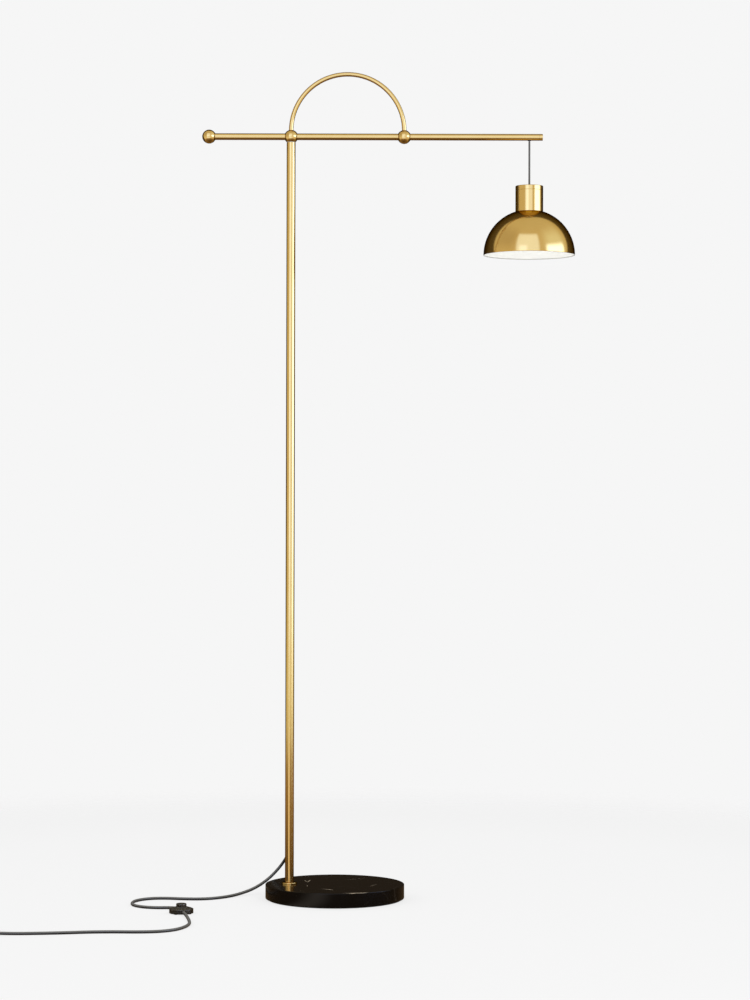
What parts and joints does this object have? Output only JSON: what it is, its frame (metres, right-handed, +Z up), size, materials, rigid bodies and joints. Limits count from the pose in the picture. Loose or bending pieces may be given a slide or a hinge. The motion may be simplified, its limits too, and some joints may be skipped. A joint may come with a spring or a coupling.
{
  "type": "floor lamp",
  "caption": "Slim brass floor lamp on a round black marble base, with an arched cross arm that turns on the pole, a half-dome pendant shade on a cord and a foot switch.",
  "frame": {"origin": "centre of the marble disc's underside, on the floor", "axes": "+Z up, +X along the arm towards the shade, +Y to the back, where the cord leaves the pole"},
  "size_m": [1.078, 0.5527, 1.491],
  "materials": {
    "polished_brass": "polished",
    "black_marble": "polished",
    "felt": "matte",
    "zinc_steel": "satin",
    "dark_steel": "satin",
    "nickel": "polished",
    "black_rubber": "satin",
    "cord_pvc": "satin",
    "pendant_cord": "matte",
    "black_plastic": "gloss",
    "black_nylon": "satin",
    "grey_nylon": "satin",
    "white_plastic": "satin",
    "opal_diffuser": "satin",
    "porcelain": "gloss",
    "tie_webbing": "matte"
  },
  "bodies": {
    "stand": {"base_disc": "black_marble", "base_pad": "felt", "base_stud": "zinc_steel", "base_washer": "zinc_steel", "base_spring_washer": "zinc_steel", "base_nut": "zinc_steel", "foot_flange": "polished_brass", "pole": "polished_brass", "pole_foot_insert": "zinc_steel", "cord_relief": "black_rubber", "mains_tail": "cord_pvc", "lead_splice": "grey_nylon", "pole_lead": "cord_pvc", "pole_top_bush": "grey_nylon", "swivel_stop_screw": "zinc_steel", "swivel_washer": "grey_nylon", "switch_lower_shell": "black_plastic", "switch_upper_shell": "black_plastic", "switch_screws": "zinc_steel", "switch_feet": "black_rubber", "switch_cord_clamps": "grey_nylon", "switch_module": "grey_nylon", "switch_spring": "zinc_steel", "mains_cord_to_switch": "cord_pvc", "mains_cord_to_coil": "cord_pvc", "mains_cord_coil": "cord_pvc", "mains_cord_to_plug": "cord_pvc", "coil_tie": "tie_webbing", "plug_body": "black_rubber", "plug_pins": "nickel", "plug_pin_sleeves": "black_plastic"},
    "arm": {"swivel_stem": "polished_brass", "arm_tube": "polished_brass", "pole_ball": "polished_brass", "arm_ball": "polished_brass", "arm_finial": "polished_brass", "ball_set_screws": "dark_steel", "arch_rod": "polished_brass", "arm_end_cap": "polished_brass", "arm_lead": "cord_pvc", "cord_anchor": "zinc_steel", "cord_outlet_bush": "black_nylon"},
    "cord_bend": {"pendant_cord_bend": "pendant_cord"},
    "pendant": {"pendant_cord": "pendant_cord", "cup_lid": "polished_brass", "holder_cup": "polished_brass", "nipple": "polished_brass", "cord_grip": "black_nylon", "nipple_nut": "polished_brass", "holder_shell": "white_plastic", "holder_core": "porcelain", "holder_terminals": "zinc_steel", "holder_screw_shell": "nickel", "holder_contact": "polished_brass", "shade": "polished_brass", "shade_ring": "white_plastic", "bulb_cap": "nickel", "bulb_collar": "white_plastic", "bulb_globe": "opal_diffuser"},
    "button": {"switch_button": "black_plastic"}
  },
  "joints": [
    {"name": "arm_swivel", "type": "hinge", "parent": "stand", "child": "arm", "pos_m": [-0.082, 0, 1.364], "axis": [0, 0, 1], "range_deg": [-150, 150]},
    {"name": "pendant_swing_across", "type": "hinge", "parent": "arm", "child": "cord_bend", "pos_m": [0.348, 0, 1.36535], "axis": [1, 0, 0], "range_deg": [-40, 40]},
    {"name": "pendant_swing_along", "type": "hinge", "parent": "cord_bend", "child": "pendant", "pos_m": [0.348, 0, 1.36535], "axis": [0, 1, 0], "range_deg": [-40, 40]},
    {"name": "switch_press", "type": "slide", "parent": "stand", "child": "button", "axis": [0, 0, -1], "range_m": [0, 0.003], "stiffness_N_per_m": 1500, "springref_m": -0.002, "deforming": ["switch_spring"]}
  ]
}
